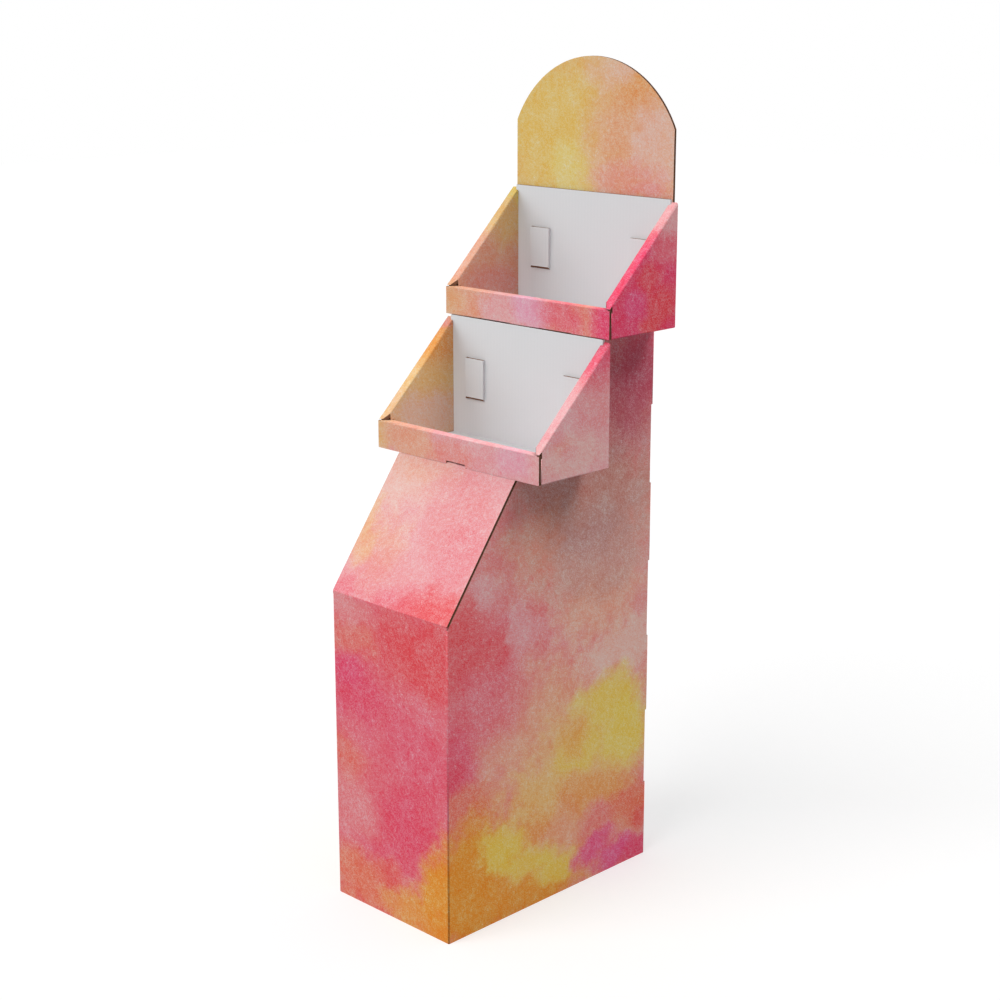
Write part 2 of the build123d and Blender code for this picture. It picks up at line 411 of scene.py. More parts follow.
# Grain: ink density over the paper's tooth, and the tooth's height.
# colour = paper * (colour / paper) ^ density
def makeGrain():
    tree, take, give = newGroup("paperGrain", {"Colour": "Color", "Place": "Vector", "Amount": "Float"},
                                {"Colour": "Color", "Height": "Float"})
    fibre = addNode(tree, "Mapping", take["Place"], None, paper["fibreTurn"], paper["fibreStretch"],
                    vector_type="TEXTURE").outputs[0]
    tooth = noiseNode(tree, fibre, *paper["tooth"])[0]
    patch = noiseNode(tree, fibre, *paper["patch"])[0]
    bloom = noiseNode(tree, take["Place"], *paper["bloom"])[0]
    uneven = mathNode(tree, "MULTIPLY", tooth, paper["toothShare"])
    uneven = mathNode(tree, "MULTIPLY_ADD", patch, paper["patchShare"], uneven)
    uneven = mathNode(tree, "MULTIPLY_ADD", bloom, paper["bloomShare"], uneven)
    centred = mathNode(tree, "SUBTRACT", uneven, 0.5)
    density = mathNode(tree, "MULTIPLY_ADD", centred, take["Amount"], 1.0)
    share = vectorNode(tree, "DIVIDE", take["Colour"], ink("paper")[:3])[0]
    dense = addNode(tree, "Gamma", share, density).outputs[0]
    tree.links.new(vectorNode(tree, "MULTIPLY", dense, ink("paper")[:3])[0], give["Colour"])
    tree.links.new(tooth, give["Height"])
    return tree


# Flutes: washboard = sin(2 pi across / pitch), felt through the liner as height, and as painted shade that
# tones the colour along them
def makeFlutes():
    tree, take, give = newGroup("fluteLines", {"Board": "Vector", "Colour": "Color", "Amount": "Float"},
                                {"Colour": "Color", "Height": "Float"})
    across = addNode(tree, "SeparateXYZ", take["Board"]).outputs[0]
    wave = mathNode(tree, "SINE", mathNode(tree, "MULTIPLY", across, 2 * math.pi / (board["pitch"] * mm)))
    tone = mathNode(tree, "MULTIPLY_ADD", wave, take["Amount"], 1.0)
    toned = addNode(tree, "HueSaturation", 0.5, 1.0, tone, 1.0, take["Colour"]).outputs[0]
    tree.links.new(toned, give["Colour"])
    tree.links.new(wave, give["Height"])
    return tree


driftGroup, washGroup, grainGroup, fluteGroup = makeDrift(), makeWash(), makeGrain(), makeFlutes()
print("made node groups")


def newMaterial(name, roughness):
    material = bpy.data.materials.new(name)
    material.use_nodes = True
    shader = material.node_tree.nodes["Principled BSDF"]
    shader.inputs["Roughness"].default_value = roughness
    shader.inputs["Specular IOR Level"].default_value = paper["specular"]
    return material, material.node_tree, shader


# Washes of a flat panel, which run straight through it along one axis
def through(washes, axis):
    def insert(pair, value):
        return [*pair[:axis], value, *pair[axis:]]

    return [(tint, insert(centre, 0), insert(reach, paper["span"]), strength)
            for tint, centre, reach, strength in washes]


# Printed or bare liner: washes in their order, worn creases, flutes and grain
def linerMaterial(name, base, washes=(), drift=0.0, grain=paper["printGrain"], ridges=paper["printRidges"]):
    material, tree, shader = newMaterial(name, paper["linerRough"])
    coords = addNode(tree, "TexCoord").outputs
    colour = ink(base)
    if washes:
        place, fray = useGroup(tree, driftGroup, coords["Object"], drift)
    for tint, centre, reach, strength in washes:
        colour = useGroup(tree, washGroup, colour, ink(tint), place, [c * mm for c in centre],
                          [r * mm for r in reach], fray, strength)[0]
    crease = addNode(tree, "Attribute", attribute_name="crease").outputs["Fac"]
    worn = mathNode(tree, "MULTIPLY", crease, paper["creaseWear"])
    colour = mixNode(tree, worn, colour, ink("white"))
    colour, ridge = useGroup(tree, fluteGroup, coords["UV"], colour, paper["fluteTone"])
    colour, tooth = useGroup(tree, grainGroup, colour, coords["Object"], grain)
    height = mathNode(tree, "MULTIPLY_ADD", ridge, ridges, tooth)
    bump = addNode(tree, "Bump", paper["bumpStrength"], paper["bumpDistance"])
    tree.links.new(height, bump.inputs["Height"])
    tree.links.new(colour, shader.inputs["Base Color"])
    tree.links.new(bump.outputs[0], shader.inputs["Normal"])
    return material


# Cut edge: kraft fibre, with painted shade that darkens it where the flutes are open
def edgeMaterial():
    material, tree, shader = newMaterial("kraftEdge", paper["edgeRough"])
    coords = addNode(tree, "TexCoord").outputs
    cavity = addNode(tree, "SeparateXYZ", coords["UV"]).outputs[0]
    colour = mixNode(tree, cavity, ink("kraft"), ink("hollow"))
    colour = useGroup(tree, grainGroup, colour, coords["Object"], paper["bareGrain"])[0]
    tree.links.new(colour, shader.inputs["Base Color"])
    return material


standPieces = bpy.data.collections.new("standPieces")
finishes = {
    "white": linerMaterial("whiteLiner", "white", grain=paper["bareGrain"], ridges=paper["bareRidges"]),
    "kraft": edgeMaterial(),
}


def makePiece(sheet, name, node):
    mesh = bpy.data.meshes.new(name)
    mesh.from_pydata(np.concatenate(sheet["points"]), [], sheet["faces"])
    mesh.polygons.foreach_set("material_index", sheet["finish"])
    mesh.polygons.foreach_set("use_smooth", sheet["smooth"])
    mesh.uv_layers.new(name="board").data.foreach_set("uv", np.concatenate(sheet["corners"]).ravel())
    mesh.attributes.new("crease", "FLOAT", "POINT").data.foreach_set("value", np.concatenate(sheet["crease"]))
    shaped = bmesh.new()
    shaped.from_mesh(mesh)
    bmesh.ops.remove_doubles(shaped, verts=shaped.verts, dist=board["weld"] * mm)
    bmesh.ops.dissolve_degenerate(shaped, edges=shaped.edges, dist=board["sliver"] * mm)
    shaped.to_mesh(mesh)
    shaped.free()
    for finish in sheet["finishes"]:
        mesh.materials.append(finishes[finish])
    piece = bpy.data.objects.new(name, mesh)
    bpy.context.scene.collection.objects.link(piece)
    standPieces.objects.link(piece)
    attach(piece, "root")
    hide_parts(node)
    print("made", name, "with", len(mesh.polygons), "faces")


# Tabs that hold the trays' back walls
lock = {
    "wide": 48.0, "high": 79.0,
    "base": 76.0,                     # above the tray's underside
    "crush": ("bevel", 4.2, 0.0),     # lower edge, pressed over
}

column = {
    "front": 600.0,      # floor to the crease under the slope
    "slopeRun": 168.0,   # depth of the slope
    "rows": 7,           # lengths of the rear edge, every other one a flap
    "flapReach": 55.0,
    "tongueWide": 48.0, "tongueReach": 14.0, "tongueRise": 3.2,
    "seam": 0.1,         # slope's top edge under the lower lip
    "drift": 0.16,       # how far the washes wander, in metres
    "frontWashes": [     # ink, centre, reach and strength of each, along x and z
        ("coral", (60, 540), (200, 105), 0.8),
        ("blush", (-110, 585), (110, 50), 0.9),
        ("salmon", (-110, 520), (90, 50), 0.5),
        ("hotPink", (-100, 430), (150, 85), 0.95),
        ("crimson", (-130, 450), (80, 35), 0.7),
        ("hotPink", (60, 330), (170, 130), 0.7),
        ("coral", (90, 490), (80, 40), 0.3),
        ("salmon", (-130, 270), (90, 80), 0.6),
        ("blush", (-110, 190), (100, 90), 0.6),
        ("hotPink", (50, 200), (130, 100), 0.9),
        ("rose", (-40, 280), (110, 70), 0.4),
        ("hotPink", (-20, 120), (120, 60), 0.6),
        ("salmon", (-70, 45), (190, 85), 0.95),
        ("coral", (-10, 80), (80, 45), 0.5),
        ("amber", (150, 100), (100, 150), 1.0),
        ("amber", (110, 15), (150, 65), 0.95),
        ("honey", (20, 20), (90, 50), 0.6),
    ],
    "slopeWashes": [
        ("cream", (-120, 790), (150, 75), 0.8),
        ("peach", (-60, 822), (130, 40), 0.4),
        ("peach", (-90, 690), (80, 60), 0.6),
        ("blush", (60, 770), (140, 100), 0.5),
        ("tan", (-150, 700), (50, 60), 0.5),
        ("rose", (110, 690), (90, 100), 0.4),
        ("blush", (-60, 650), (130, 60), 0.5),
        ("rose", (10, 612), (130, 50), 0.9),
        ("coral", (120, 608), (120, 60), 0.85),
        ("rose", (-130, 615), (80, 45), 0.8),
        ("pink", (-60, 612), (50, 30), 0.5),
    ],
    "sideWashes": [      # along y and z
        ("peach", (80, 720), (280, 190), 0.75),
        ("cream", (150, 620), (210, 190), 0.7),
        ("peach", (60, 320), (360, 200), 0.95),
        ("tan", (120, 260), (240, 160), 0.8),
        ("honey", (-60, 110), (360, 180), 0.95),
        ("cream", (190, 455), (130, 75), 0.9),
        ("peach", (130, 560), (170, 90), 0.6),
        ("rose", (-200, 480), (150, 180), 0.85),
        ("coral", (-250, 560), (110, 110), 0.65),
        ("coral", (-150, 520), (70, 50), 0.6),
        ("pink", (-90, 535), (60, 60), 0.7),
        ("pink", (-180, 645), (60, 50), 0.6),
        ("hotPink", (-260, 340), (90, 120), 0.85),
        ("salmon", (-240, 235), (110, 70), 0.7),
        ("yellow", (165, 355), (120, 75), 0.85),
        ("yellow", (80, 275), (110, 65), 0.75),
        ("yellow", (215, 280), (80, 100), 0.9),
        ("honey", (60, 310), (60, 60), 0.6),
        ("amber", (-225, 90), (160, 160), 1.0),
        ("amber", (-60, 20), (190, 65), 0.95),
        ("yellow", (-125, 145), (90, 65), 0.85),
        ("yellow", (-55, 100), (95, 52), 0.8),
        ("yellow", (25, 55), (95, 45), 0.85),
        ("tan", (-40, 215), (100, 60), 0.7),
        ("peach", (60, 130), (110, 60), 0.8),
        ("salmon", (215, 120), (100, 80), 0.75),
        ("honey", (150, 172), (90, 50), 0.9),
        ("rose", (120, 100), (70, 50), 0.6),
        ("salmon", (245, 95), (70, 60), 0.9),
        ("hotPink", (215, 12), (120, 34), 0.75),
        ("magenta", (115, 52), (75, 38), 0.9),
        ("magenta", (175, 18), (80, 34), 0.9),
        ("crimson", (250, -5), (80, 40), 0.8),
        ("coral", (245, 80), (50, 35), 0.6),
        ("honey", (100, 165), (60, 45), 0.6),
        ("yellow", (-130, 120), (60, 50), 0.4),
        ("yellow", (-10, 95), (50, 35), 0.5),
        # Painted shade: the mauve washes here and the wine wash after the crimson one darken the side under
        # and behind the trays, where the trays' shadow falls
        ("paintedShadeMauve", (110, 760), (220, 140), 0.55),
        ("paintedShadeMauve", (120, 650), (200, 110), 0.4),
        ("paintedShadeMauve", (190, 880), (120, 90), 0.45),
        ("paintedShadeMauve", (-20, 800), (140, 55), 0.5),
        ("crimson", (240, 1000), (130, 130), 0.65),
        ("paintedShadeWine", (200, 970), (150, 130), 0.55),
    ],
}
for finish, base, washes, axis in (("columnFront", "rose", "frontWashes", 1),
                                   ("columnSlope", "pink", "slopeWashes", 1),
                                   ("columnSide", "blush", "sideWashes", 0)):
    finishes[finish] = linerMaterial(finish, base, through(column[washes], axis), column["drift"])


def makeColumn():
    sheet = newSheet("columnFront", "columnSlope", "columnSide")
    half, top = sleeveHigh[0], sleeveHigh[2]
    frontY, rearY = sleeveLow[1], sleeveHigh[1]
    ledge, riser = lowerLow[2], lowerHigh[1] + slip
    rise, run = ledge - column["front"], column["slopeRun"]
    slope = math.atan2(rise, run)
    steep, lean = math.degrees(slope), 90 - math.degrees(slope)
    foot = column["front"] - (thick + slip) / math.cos(slope)     # side panels' slanted edge, at the front
    corner = foot + board["crease"] * math.tan(slope)
    lift = (thick - board["crease"]) * math.tan(slope)
    inset = half - nick
    step = ("wrap", 0, -lift)
    front = addPanel(sheet, (0, frontY, 0), xAxis, zAxis, [
        ((-half, 0), "cut"), ((half, 0), ("right", 90)), ((half, corner), step), ((inset, corner), "wrap"),
        ((inset, column["front"]), ("crease", lean)), ((-inset, column["front"]), "wrap"),
        ((-inset, corner), step), ((-half, corner), ("left", 90))], "columnFront")

    along = np.array([0, math.cos(slope), math.sin(slope)])
    length = (rise - column["seam"]) / math.sin(slope)
    tip = (rise + column["tongueRise"]) / math.sin(slope)
    tongue = column["tongueWide"] / 2
    sloped = addPanel(sheet, (0, frontY, column["front"]), xAxis, along, [
        ((-inset, 0), ("crease", lean)), ((inset, 0), "wrap"), ((inset, 2 * nick), "wrap"),
        ((half, 2 * nick), "cut"), ((half, length), "plain"),
        ((tongue, length), "plain"), ((tongue, tip), ("tongue", steep)),
        ((-tongue, tip), "plain"), ((-tongue, length), "plain"), ((-half, length), "cut"),
        ((-half, 2 * nick), "wrap"), ((-inset, 2 * nick), "wrap")], "columnSlope")
    tongueTop = (0, frontY + tip * math.cos(slope), ledge + column["tongueRise"])
    reach = frontY + run + column["tongueReach"] - tongueTop[1]
    tucked = addPanel(sheet, tongueTop, xAxis, yAxis, boxed(
        -tongue, tongue, 0, reach, ("tongue", steep), "plain", "plain", "plain"), "columnSlope")
    addFold(sheet, front["crease"], sloped["crease"], "columnFront")
    addFold(sheet, sloped["tongue"], tucked["tongue"], "columnSlope")

    lockLow = ledge + lock["base"]
    lockHigh = lockLow + lock["high"]
    lockFace = lowerHigh[1] - 2 * thick - slip
    rowHigh = top / column["rows"]
    outline = [((frontY, 0), "cut")]
    for row in range(column["rows"]):
        low, high = row * rowHigh, (row + 1) * rowHigh
        if row % 2 == 0:
            outline += [((rearY, low), (f"flap{row}", 90)), ((rearY, high), "cut")]
        else:
            outline += [((rearY - thick, low), "cut"), ((rearY - thick, high), "cut")]
    outline += [((riser, top), "cut"), ((riser, lockHigh), "cut"), ((lockFace, lockHigh), ("lock", 90)),
                ((lockFace, lockLow), "cut"), ((riser, lockLow), "cut"), ((riser, ledge), "cut"),
                ((frontY + (ledge - foot) / math.tan(slope), ledge), "cut"), ((frontY, foot), ("front", 90))]
    for mirror, name in ((False, "right"), (True, "left")):
        side = addPanel(sheet, (half, 0, 0), yAxis, zAxis, outline, "columnSide", mirror=mirror)
        addFold(sheet, front[name], side["front"], "columnFront")
        plate = addPanel(sheet, (0, lockFace, 0), xAxis, zAxis, boxed(
            half - lock["wide"], half, lockLow, lockHigh,
            lock["crush"], ("lock", 90), "plain", "wrap"), "white", mirror=mirror)
        addFold(sheet, side["lock"], plate["lock"], "white")
        for row in range(0, column["rows"], 2):
            flap = addPanel(sheet, (0, rearY, 0), -xAxis, zAxis, boxed(
                -half, column["flapReach"] - half, row * rowHigh, (row + 1) * rowHigh,
                "cut", "cut", "cut", ("flap", 90)), "columnSide", mirror=mirror)
            addFold(sheet, side[f"flap{row}"], flap["flap"], "columnSide")
    return sheet


tray = {
    "lip": 52.5, "rear": 227.0, "wall": 231.5,  # heights: lip, side walls' rear, back wall
    "wallTuck": 6.0,  # back wall's ends behind the rims
    "hem": 20.0,  # width of a rolled rim
    "rimStart": 2.0, "rimChamfer": 11.0,  # front ends of the side rims
    "earReach": 70.0, "earLow": 12.0, "earHigh": 137.0,  # back wall's ears, inside the side walls
    "cornerReach": 65.0,  # side walls' front flaps, inside the lip
    "tabs": (38.0, 116.0), "tabFold": 13.0,  # upper lip's tabs from the middle, and their fold's height
    "toe": (8.8, 2.0),  # end of a tab: behind the lip's face, above the underside
    "tabNotch": (12.0, 1.5),  # depth and height of the notches for the toes
    "tongueHalf": 24.1, "tongueNotch": (14.4, 6.0),  # lower lip's notch for the column's tongue
    "lipCreases": (0.5, 1.6), "heel": 0.3,  # radius under the two lips, and the step at their ends
    "drift": 0.07,  # metres
    "lowerWashes": [  # ink, centre, reach and strength
        ("tan", (-200, 0, 960), (90, 200, 200), 0.9),
        ("honey", (-200, 60, 1030), (70, 80, 90), 0.95),
        ("cream", (-195, 0, 880), (70, 110, 60), 0.7),
        ("amber", (-200, 20, 1005), (40, 45, 40), 0.5),
        ("blush", (-197, 70, 1052), (30, 25, 20), 0.7),
        ("tan", (-205, -100, 860), (60, 60, 60), 0.8),
        ("peach", (-120, -100, 860), (100, 60, 60), 0.95),
        ("salmon", (-10, -100, 850), (80, 60, 40), 0.4),
        ("blush", (90, -100, 845), (70, 60, 40), 0.25),
        ("lilac", (150, -100, 865), (60, 60, 40), 0.5),
        ("cream", (207, -10, 870), (45, 120, 60), 0.45),
        ("salmon", (207, -45, 900), (40, 34, 24), 0.25),
        ("blush", (207, -20, 878), (40, 34, 22), 0.4),
        ("blush", (207, 40, 940), (40, 60, 50), 0.5),
        ("rose", (207, 50, 1010), (40, 75, 55), 0.85),
        ("hotPink", (200, 45, 1030), (45, 60, 40), 0.8),
        ("hotPink", (200, 80, 1055), (45, 60, 45), 0.95),
    ],
    "upperWashes": [
        ("tan", (-195, 235, 1260), (70, 90, 100), 0.9),
        ("blush", (-190, 180, 1110), (50, 110, 50), 0.5),
        ("yellow", (-200, 250, 1290), (40, 40, 40), 0.7),
        ("tan", (-205, 77, 1090), (55, 60, 50), 0.35),
        ("salmon", (-100, 77, 1085), (60, 60, 50), 0.2),
        ("pink", (-40, 77, 1088), (110, 60, 60), 0.9),
        ("lilac", (20, 77, 1088), (70, 60, 50), 0.9),
        ("rose", (90, 77, 1088), (70, 60, 60), 0.9),
        ("hotPink", (165, 77, 1088), (80, 70, 70), 0.4),
        ("crimson", (215, 155, 1120), (62, 320, 280), 1.0),
        ("hotPink", (207, 100, 1150), (45, 70, 60), 0.4),
        ("coral", (207, 220, 1110), (45, 60, 55), 0.8),
        ("coral", (207, 185, 1165), (45, 50, 40), 0.7),
        ("coral", (207, 185, 1078), (45, 40, 25), 0.8),
        ("magenta", (207, 140, 1118), (45, 50, 30), 0.5),
        ("rose", (207, 235, 1215), (50, 60, 45), 0.8),
        ("pink", (205, 245, 1270), (50, 55, 55), 0.95),
    ],
}
finishes["lowerPrint"] = linerMaterial("lowerPrint", "pink", tray["lowerWashes"], tray["drift"])
finishes["upperPrint"] = linerMaterial("upperPrint", "peach", tray["upperWashes"], tray["drift"])


def makeTray(low, high, printed, onSlope):
    sheet = newSheet(printed)
    half, deep = high[0], high[1] - low[1]
    lip, rear, hem, heel = tray["lip"], tray["rear"], tray["hem"], tray["heel"]
    base = np.array([0, low[1], low[2]])
    roll = half - thick - slip                 # lip roll between the side walls
    wallHalf = roll - nick
    slant = math.atan2(rear - lip, deep)
    rimTop = lambda y: lip + y * math.tan(slant)
    tabs = [(-tray["tabs"][1], -tray["tabs"][0]), tray["tabs"]]
    notches = [(-tray["tongueHalf"], tray["tongueHalf"], *tray["tongueNotch"])]
    lowerCrease, upperCrease = tray["lipCreases"]
    frontCrease = (90, lowerCrease if onSlope else upperCrease)
    if not onSlope:
        notches = [(*tab, *tray["tabNotch"]) for tab in tabs]

    outline = [((-half, heel), "plain"), ((-roll, heel), "plain")]
    start = -roll
    for i, (left, right, _, notchHigh) in enumerate(notches):
        outline += [((start, 0), (f"crease{i}", *frontCrease)), ((left, 0), "plain"),
                    ((left, notchHigh), "plain"), ((right, notchHigh), "plain")]
        start = right
    last = len(notches)
    outline += [((start, 0), (f"crease{last}", *frontCrease)), ((roll, 0), "plain"), ((roll, heel), "plain"),
                ((half, heel), "cut"), ((half, lip - nick), "plain"), ((roll, lip - nick), "plain"),
                ((roll, lip), ("rim", 90)), ((-roll, lip), "plain"), ((-roll, lip - nick), "plain"),
                ((-half, lip - nick), "cut")]
    lipFolds = addPanel(sheet, base, xAxis, zAxis, outline, printed)

    rim = addPanel(sheet, base + (0, 0, lip), xAxis, yAxis, boxed(
        -roll, roll, 0, hem, ("rim", 90), "plain", ("inner", 90), "plain"), printed)
    addFold(sheet, lipFolds["rim"], rim["rim"], printed)

    bottom = thick + slip
    toeY, toeZ = tray["toe"]
    toe = np.array([0, toeY - hem, toeZ - tray["tabFold"]])
    toeLong = np.linalg.norm(toe)
    toe /= toeLong
    toeTurn = math.degrees(math.acos(-toe[2]))
    outline = [((-roll, bottom), "plain")]
    if not onSlope:
        for i, (left, right) in enumerate(tabs):
            left, right = left + slip, right - slip
            outline += [((left, bottom), "plain"), ((left, tray["tabFold"]), (f"toe{i}", toeTurn)),
                        ((right, tray["tabFold"]), "plain"), ((right, bottom), "plain")]
    outline += [((roll, bottom), "plain"), ((roll, lip), ("inner", 90)), ((-roll, lip), "plain")]
    innerLip = addPanel(sheet, base + (0, hem, 0), -xAxis, zAxis, outline, printed)
    addFold(sheet, rim["inner"], innerLip["inner"], printed)
    for i, (left, right) in enumerate([] if onSlope else tabs):
        tab = addPanel(sheet, base + (0, hem, tray["tabFold"]), -xAxis, -toe, boxed(
            left + slip, right - slip, -toeLong, 0, "cut", "plain", ("toe", toeTurn), "plain"), printed)
        addFold(sheet, innerLip[f"toe{i}"], tab["toe"], printed)

    front, back = thick + slip, deep - slip
    outline = [((0, -roll), "plain"), ((front + nick, -roll), "plain"), ((front + nick, -half), ("left", 90)),
               ((back, -half), "plain"), ((back, -wallHalf), "plain"), ((deep, -wallHalf), ("rear", 90)),
               ((deep, wallHalf), "plain"), ((back, wallHalf), "plain"), ((back, half), ("right", 90)),
               ((front + nick, half), "plain"), ((front + nick, roll), "plain")]
    start = roll
    for i, (left, right, notchDeep, _) in reversed(list(enumerate(notches))):
        outline += [((0, start), (f"crease{i + 1}", *frontCrease)), ((0, right), "plain"),
                    ((notchDeep, right), "plain"), ((notchDeep, left), "plain")]
        start = left
    outline += [((0, start), ("crease0", *frontCrease))]
    floor = addPanel(sheet, base, yAxis, xAxis, outline, "white", fluteUp=False)
    for i in range(last + 1):
        addFold(sheet, lipFolds[f"crease{i}"], floor[f"crease{i}"], printed)

    underRim = rimTop(deep - thick) - thick / math.cos(slant) - slip
    inner = half - hem + tray["wallTuck"]
    earLow, earHigh, wallTop = tray["earLow"], tray["earHigh"], tray["wall"]
    outline = [((-wallHalf, 0), ("rear", 90)), ((wallHalf, 0), "plain"), ((wallHalf, earLow), "plain"),
               ((roll, earLow), ("right", 90)), ((roll, earHigh), "plain"), ((wallHalf, earHigh), "plain"),
               ((wallHalf, underRim), "cut"), ((inner, underRim), "wrap"), ((inner, wallTop), "cut"),
               ((-inner, wallTop), "wrap"), ((-inner, underRim), "cut"), ((-wallHalf, underRim), "plain"),
               ((-wallHalf, earHigh), "plain"), ((-roll, earHigh), ("left", 90)), ((-roll, earLow), "plain"),
               ((-wallHalf, earLow), "plain")]
    slotIn, slotOut = sleeveHigh[0] - thick - slip, sleeveHigh[0] + slip
    slotLow, slotHigh = lock["base"] - slip, lock["base"] + lock["high"] + slip
    wall = addPanel(sheet, base + (0, deep, 0), -xAxis, zAxis, outline, "white", holes=[
        rectangle(slotIn, slotOut, slotLow, slotHigh), rectangle(-slotOut, -slotIn, slotLow, slotHigh)])
    addFold(sheet, floor["rear"], wall["rear"], "white")

    slide = lambda y: y / math.cos(slant)
    shift = thick * math.tan(slant)            # between the two faces of the slanted rim, along it
    start, hook = tray["rimStart"], tray["rimStart"] + tray["rimChamfer"]
    restOn = (slip + thick * math.cos(slant)) / math.sin(slant)     # underside meets the lip's rim
    touch = (restOn + shift) * math.cos(slant)
    innerFront, innerRear = hem + slip, deep - thick - slip
    flapHigh = lip - thick - slip
    outerOutline = [((front + nick, 0), ("foot", 90)), ((back, 0), "cut"),
                    ((back, rimTop(back)), ("rim", 90)), ((touch, rimTop(touch)), "cut"),
                    ((touch, flapHigh), "plain"), ((front, flapHigh), ("corner", 90)),
                    ((front, bottom), "plain"), ((front + nick, bottom), "plain")]
    inRim, chamfer = half - hem + nick, tray["rimChamfer"]
    chamferSide = (chamfer - nick) / math.hypot(chamfer - nick, slide(chamfer))
    rimOutline = [((inRim, slide(hook)), ("bevel", 0, -shift * chamferSide)),
                  ((half - hem + chamfer, slide(start)), ("bevel", 0, restOn - slide(start))),
                  ((half - nick, slide(start)), ("bevel", 0, thick - nick)),
                  ((half - nick, slide(touch)), ("bevel", 0, -shift)),
                  ((half, slide(touch)), ("rim", 90)), ((half, slide(back)), ("bevel", 0, shift)),
                  ((inner + slip, slide(back)), "plain"),
                  ((inner + slip, slide(innerRear)), ("bevel", 0, shift)),
                  ((half - hem, slide(innerRear)), ("inner", 90)),
                  ((half - hem, slide(hook)), ("bevel", 0, -shift))]
    innerOutline = [((bottom, innerFront), "cut"), ((lip + slip, innerFront), "plain"),
                    ((lip + slip, hook), "cut"), ((rimTop(hook), hook), ("inner", 90)),
                    ((rimTop(innerRear), innerRear), "plain"), ((bottom, innerRear), "plain")]
    along = np.array([0, math.cos(slant), math.sin(slant)])
    for mirror, name, other in ((False, "right", "left"), (True, "left", "right")):
        outer = addPanel(sheet, base + (half, 0, 0), yAxis, zAxis, outerOutline, printed, fluteUp=False,
                         mirror=mirror)
        addFold(sheet, floor[name], outer["foot"], printed)
        sideRim = addPanel(sheet, base + (0, 0, lip), xAxis, along, rimOutline, printed, mirror=mirror)
        addFold(sheet, outer["rim"], sideRim["rim"], printed)
        inside = addPanel(sheet, base + (half - hem, 0, 0), zAxis, yAxis, innerOutline, printed,
                          mirror=mirror)
        addFold(sheet, sideRim["inner"], inside["inner"], printed)
        ear = addPanel(sheet, base + (roll, 0, 0), yAxis, zAxis, boxed(
            deep - tray["earReach"], deep, earLow, earHigh, "plain", ("ear", 90), "plain", "plain"), "white",
            mirror=mirror)
        addFold(sheet, wall[other], ear["ear"], "white")
        flap = addPanel(sheet, base + (0, front, 0), xAxis, zAxis, boxed(
            half - tray["cornerReach"], half, bottom, flapHigh,
            "plain", ("corner", 90), "plain", "plain"), "white", mirror=mirror)
        addFold(sheet, outer["corner"], flap["corner"], printed)
    return sheet


header = {
    "shoulder": 1417.0, "crown": 1540.0,  # ends and top of the arch above the floor
    "drift": 0.12,  # metres
    "washes": [  # along x and z
        ("yellow", (-110, 1400), (200, 170), 0.45),
        ("lemon", (-40, 1330), (110, 80), 0.7),
        ("peach", (100, 1400), (160, 180), 0.75),
        ("honey", (115, 1485), (110, 70), 0.6),
        ("cream", (30, 1522), (90, 45), 0.5),
        ("cream", (165, 1370), (90, 130), 0.65),
        ("blush", (90, 1305), (140, 60), 0.5),
        ("rose", (150, 1286), (110, 24), 0.3),
    ],
}
finishes["headerPrint"] = linerMaterial("headerPrint", "tan", through(header["washes"], 1), header["drift"])


def makeHeader():
    sheet = newSheet("headerPrint")
    half, foot = headerHigh[0], headerLow[2]
    frontY, shelf = upperHigh[1], sleeveHigh[2]
    shoulder, crown = header["shoulder"], header["crown"]
    columnHalf = sleeveHigh[0]
    inside = columnHalf - thick - slip
    rise = crown - shoulder
    radius = (half ** 2 + rise ** 2) / (2 * rise)
    sweep = math.asin(half / radius)
    # arch(s): x = radius sin(t), z = crown - radius + radius cos(t), with t from sweep to -sweep
    arch = {"length": 2 * sweep * radius, "path": lambda s: np.stack([
        radius * np.sin(sweep * (1 - 2 * s)), crown - radius + radius * np.cos(sweep * (1 - 2 * s))], 1)}
    low = upperLow[2] + lock["base"]
    high = low + lock["high"]
    windowIn = columnHalf - lock["wide"] - 2 * thick
    addPanel(sheet, (0, frontY, 0), xAxis, zAxis, [
        ((-inside, foot), "cut"), ((inside, foot), "cut"), ((inside, shelf), "cut"), ((half, shelf), "cut"),
        ((half, shoulder), "curve"), ((-half, shoulder), "cut"), ((-half, shelf), "cut"),
        ((-inside, shelf), "cut")], "headerPrint", curve=arch, holes=[
            rectangle(windowIn, columnHalf, low - slip, high + slip),
            rectangle(-columnHalf, -windowIn, low - slip, high + slip)])
    face = frontY - 2 * thick - slip
    for mirror in (False, True):
        jog = addPanel(sheet, (columnHalf, 0, 0), yAxis, zAxis, boxed(
            face, frontY + thick - slip, low, high,
            "plain", "plain", "plain", ("lock", 90)), "white", mirror=mirror)
        plate = addPanel(sheet, (0, face, 0), xAxis, zAxis, boxed(
            columnHalf - lock["wide"], columnHalf, low, high,
            lock["crush"], ("lock", 90), "plain", "wrap"), "white", mirror=mirror)
        addFold(sheet, jog["lock"], plate["lock"], "white")
    return sheet


def makeBackPanel():
    sheet = newSheet()
    addPanel(sheet, (0, panelLow[1], 0), xAxis, zAxis, boxed(
        panelLow[0], panelHigh[0], panelLow[2], panelHigh[2], "cut", "cut", "cut", "cut"), "white")
    return sheet


makePiece(makeColumn(), "columnSleeve", "column_sleeve")
makePiece(makeBackPanel(), "backPanel", "back_panel")
makePiece(makeHeader(), "headerBoard", "header_board")
makePiece(makeTray(lowerLow, lowerHigh, "lowerPrint", True), "lowerTray", "lower_tray")
makePiece(makeTray(upperLow, upperHigh, "upperPrint", False), "upperTray", "upper_tray")

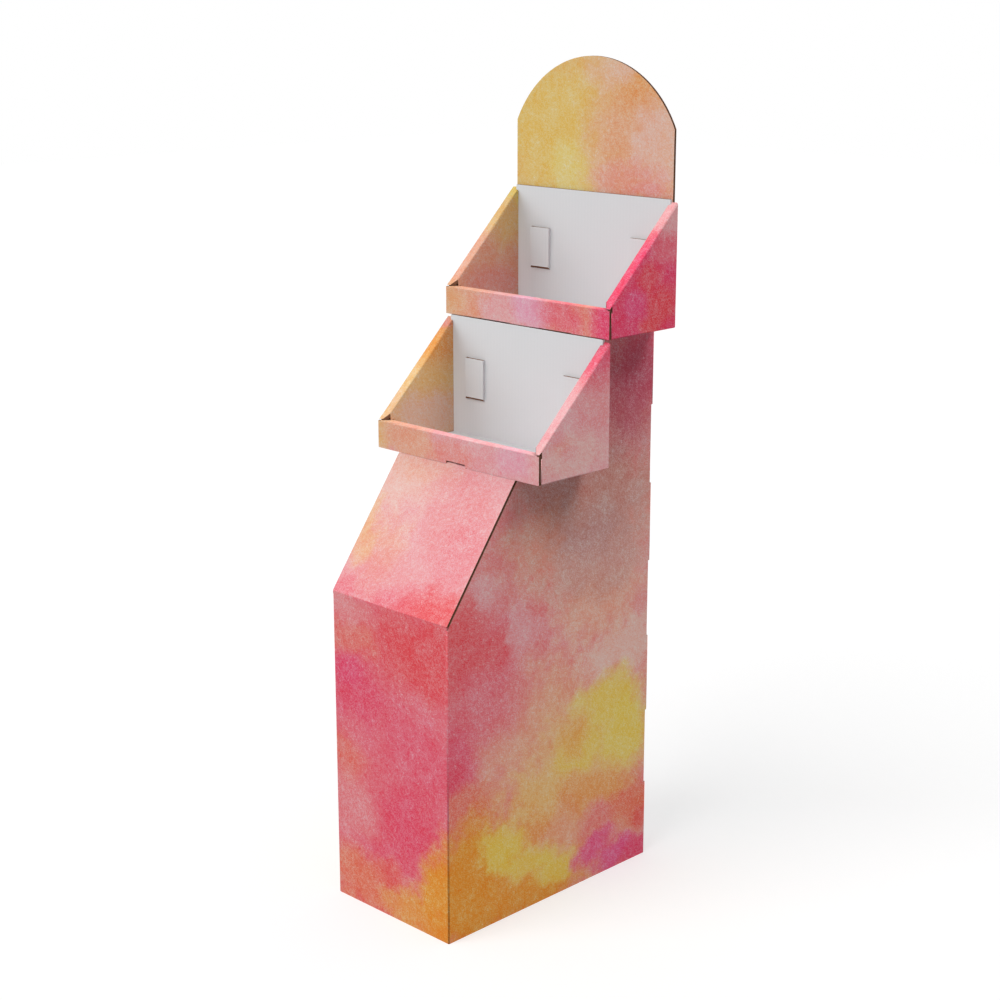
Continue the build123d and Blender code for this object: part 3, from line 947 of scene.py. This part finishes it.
studio = {
    "floorReach": 14.0, "floorTone": 0.52, "floorGlow": 0.545, "floorRough": 0.9,    # reach in metres
    "sky": 0.02,                               # even light from all round
    "standLamps": {                            # towards the lamp, strength, degrees across
        "keyLamp": ((0.20, -0.60, 0.775), 0.45, 25),
        "topLamp": ((0.35, 0.30, 0.89), 0.82, 35),
        "frontLamp": ((0.25, -0.92, 0.30), 0.08, 40),
        "leftFrontLamp": ((-0.70, -0.60, 0.35), 0.50, 55),
        "rightLamp": ((0.80, -0.55, 0.24), 0.04, 40),
        "leftLamp": ((-0.98, -0.10, 0.18), 0.40, 55),
        "rearLamp": ((0.10, 0.98, 0.18), 0.50, 55),
    },
    "floorLamps": {
        "floorKey": ((-0.10, -0.66, 0.74), 0.55, 46),
        "floorFill": ((0.0, 0.0, 1.0), 0.50, 150),
    },
    "eye": (2.4124, -2.4182, 1.6653), "eyeTurn": (74.96, 0, 44.77),    # metres and degrees
    "lens": 69.02, "sensor": 36,
}


# What the camera and mirrors see directly
def seenDirectly(tree):
    path = addNode(tree, "LightPath").outputs
    shiny = mathNode(tree, "MAXIMUM", path["Is Glossy Ray"], path["Is Transmission Ray"])
    return mathNode(tree, "MAXIMUM", path["Is Camera Ray"], shiny)


def makeStudio():
    scene = bpy.context.scene
    reach = studio["floorReach"]
    mesh = bpy.data.meshes.new("floor")
    mesh.from_pydata(np.array([(-1, -1, 0), (1, -1, 0), (1, 1, 0), (-1, 1, 0)]) * reach, [], [(0, 1, 2, 3)])
    material, tree, shader = newMaterial("floor", studio["floorRough"])
    shader.inputs["Base Color"].default_value = (*[studio["floorTone"]] * 3, 1)
    shader.inputs["Specular IOR Level"].default_value = 0.0
    shader.inputs["Emission Color"].default_value = (1, 1, 1, 1)
    glow = mathNode(tree, "MULTIPLY", seenDirectly(tree), studio["floorGlow"])
    tree.links.new(glow, shader.inputs["Emission Strength"])
    mesh.materials.append(material)
    floor = bpy.data.objects.new("floor", mesh)
    scene.collection.objects.link(floor)

    world = bpy.data.worlds.new("studio")
    scene.world = world
    world.use_nodes = True
    tree = world.node_tree
    level = addNode(tree, "Mix", seenDirectly(tree), None, studio["sky"], 1.0).outputs[0]
    tree.links.new(level, tree.nodes["Background"].inputs["Strength"])
    tree.nodes["Background"].inputs["Color"].default_value = (1, 1, 1, 1)

    ground = bpy.data.collections.new("ground")
    ground.objects.link(floor)
    for lamps, lit in (("standLamps", standPieces), ("floorLamps", ground)):
        for name, (towards, strength, across) in studio[lamps].items():
            lamp = bpy.data.lights.new(name, "SUN")
            lamp.energy = strength * math.pi
            lamp.angle = math.radians(across)
            light = bpy.data.objects.new(name, lamp)
            light.rotation_euler = Vector(towards).to_track_quat("Z", "Y").to_euler()
            light.light_linking.receiver_collection = lit
            scene.collection.objects.link(light)

    lens = bpy.data.cameras.new("camera")
    lens.lens = studio["lens"]
    lens.sensor_width = studio["sensor"]
    camera = bpy.data.objects.new("camera", lens)
    camera.location = studio["eye"]
    camera.rotation_euler = [math.radians(turn) for turn in studio["eyeTurn"]]
    scene.collection.objects.link(camera)
    scene.camera = camera
    scene.view_settings.view_transform = "Standard"
    print("made studio")


makeStudio()
